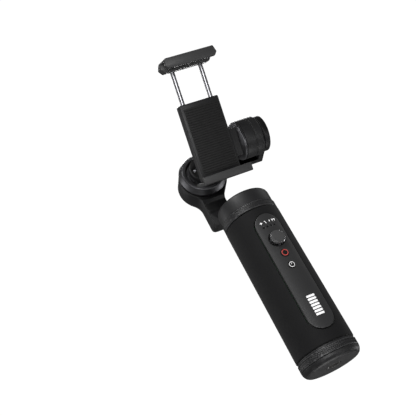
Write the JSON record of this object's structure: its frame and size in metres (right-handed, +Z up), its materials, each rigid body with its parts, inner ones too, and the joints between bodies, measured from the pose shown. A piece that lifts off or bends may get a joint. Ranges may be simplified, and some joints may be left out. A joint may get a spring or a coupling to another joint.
{
  "type": "phone gimbal",
  "caption": "Handheld three-axis stabiliser for a phone: round grip with a control panel, pan motor, swan-neck arm, roll and tilt motors, and a sliding phone clamp.",
  "frame": {"origin": "centre of the grip's flat base, at the mouth of the tripod socket, on the pan axis", "axes": "+Z up the grip along the pan axis, +Y away from the control panel's side, +X to the right of a person facing the panel"},
  "size_m": [0.0613, 0.099, 0.2145],
  "materials": {
    "soft_touch_black": "fine matte soft-touch coating",
    "black_plastic": "fine spark-eroded satin",
    "panel_black": "smooth satin, slightly lighter than the grip",
    "dark_aluminium": "turned and anodised dark grey",
    "bright_steel": "ground",
    "copper_winding": "enamelled wire",
    "magnet_nickel": "nickel plated",
    "grip_rubber": "matte, finely ribbed",
    "circuit_green": "solder mask",
    "battery_wrap": null,
    "light_pipe": "clear, faintly blue",
    "brass_insert": "machined"
  },
  "bodies": {
    "grip": {"handle_shell": "soft_touch_black", "control_panel": "panel_black", "light_guide": "light_pipe", "key_board": "circuit_green", "record_switch": "black_plastic", "power_switch": "black_plastic", "joystick_base": "black_plastic", "battery": "battery_wrap", "battery_contact_minus": "bright_steel", "battery_contact_plus": "bright_steel", "main_board": "circuit_green", "charge_port": "bright_steel", "bottom_cap": "black_plastic", "tripod_insert": "brass_insert", "pan_motor_base": "dark_aluminium", "pan_stator": "copper_winding", "pan_bearing_lower": "bright_steel", "pan_bearing_upper": "bright_steel"},
    "joystick_ring": {"joystick_yoke": "bright_steel"},
    "joystick_stick": {"joystick": "panel_black"},
    "record_key": {"record_button": "panel_black"},
    "power_key": {"power_button": "panel_black"},
    "pan_arm": {"pan_cap": "black_plastic", "pan_magnet_ring": "magnet_nickel", "pan_shaft": "bright_steel", "arm_bracket": "black_plastic", "arm_cover": "black_plastic", "arm_screw_1": "bright_steel", "arm_screw_2": "bright_steel", "roll_stator": "copper_winding", "roll_bearing": "bright_steel"},
    "roll_arm": {"roll_ring": "dark_aluminium", "roll_magnet_ring": "magnet_nickel", "roll_shaft": "bright_steel", "roll_bracket": "black_plastic", "bracket_screw_1": "bright_steel", "bracket_screw_2": "bright_steel", "bracket_screw_3": "bright_steel", "tilt_housing": "black_plastic", "tilt_stator": "copper_winding", "tilt_bearing": "bright_steel"},
    "clamp": {"tilt_rotor": "dark_aluminium", "tilt_magnet_ring": "magnet_nickel", "tilt_shaft": "bright_steel", "clamp_body": "black_plastic", "back_pad": "grip_rubber", "lower_jaw": "black_plastic", "lower_pad": "grip_rubber"},
    "sliding_jaw": {"upper_jaw": "black_plastic", "upper_pad": "grip_rubber", "guide_rod_1": "bright_steel", "guide_rod_2": "bright_steel"}
  },
  "joints": [
    {"name": "pan", "type": "hinge", "parent": "grip", "child": "pan_arm", "pos_m": [0, 0, 0.106], "axis": [0, 0, 1], "continuous": true},
    {"name": "roll", "type": "hinge", "parent": "pan_arm", "child": "roll_arm", "pos_m": [0, 0.045, 0.1652], "axis": [0, 1, 0], "range_deg": [-100, 60]},
    {"name": "tilt", "type": "hinge", "parent": "roll_arm", "child": "clamp", "pos_m": [0.03, 0.0112, 0.1652], "axis": [1, 0, 0], "range_deg": [-75, 40]},
    {"name": "jaw_slide", "type": "slide", "parent": "clamp", "child": "sliding_jaw", "axis": [0, -0.5388, 0.8425], "range_m": [-0.0223, 0.0121]},
    {"name": "stick_up_down", "type": "hinge", "parent": "grip", "child": "joystick_ring", "pos_m": [0.00071, -0.01348, 0.0749], "axis": [0.9986, 0.0523, 0], "range_deg": [-8, 8], "stiffness_Nm_per_rad": 0.02},
    {"name": "stick_left_right", "type": "hinge", "parent": "joystick_ring", "child": "joystick_stick", "pos_m": [0.00071, -0.01348, 0.0749], "axis": [0, 0, 1], "range_deg": [-8, 8], "stiffness_Nm_per_rad": 0.02},
    {"name": "record_press", "type": "slide", "parent": "grip", "child": "record_key", "axis": [-0.0523, 0.9986, 0], "range_m": [0, 0.0005], "stiffness_N_per_m": 800, "springref_m": -0.0003},
    {"name": "power_press", "type": "slide", "parent": "grip", "child": "power_key", "axis": [-0.0523, 0.9986, 0], "range_m": [0, 0.0005], "stiffness_N_per_m": 800, "springref_m": -0.0003}
  ]
}
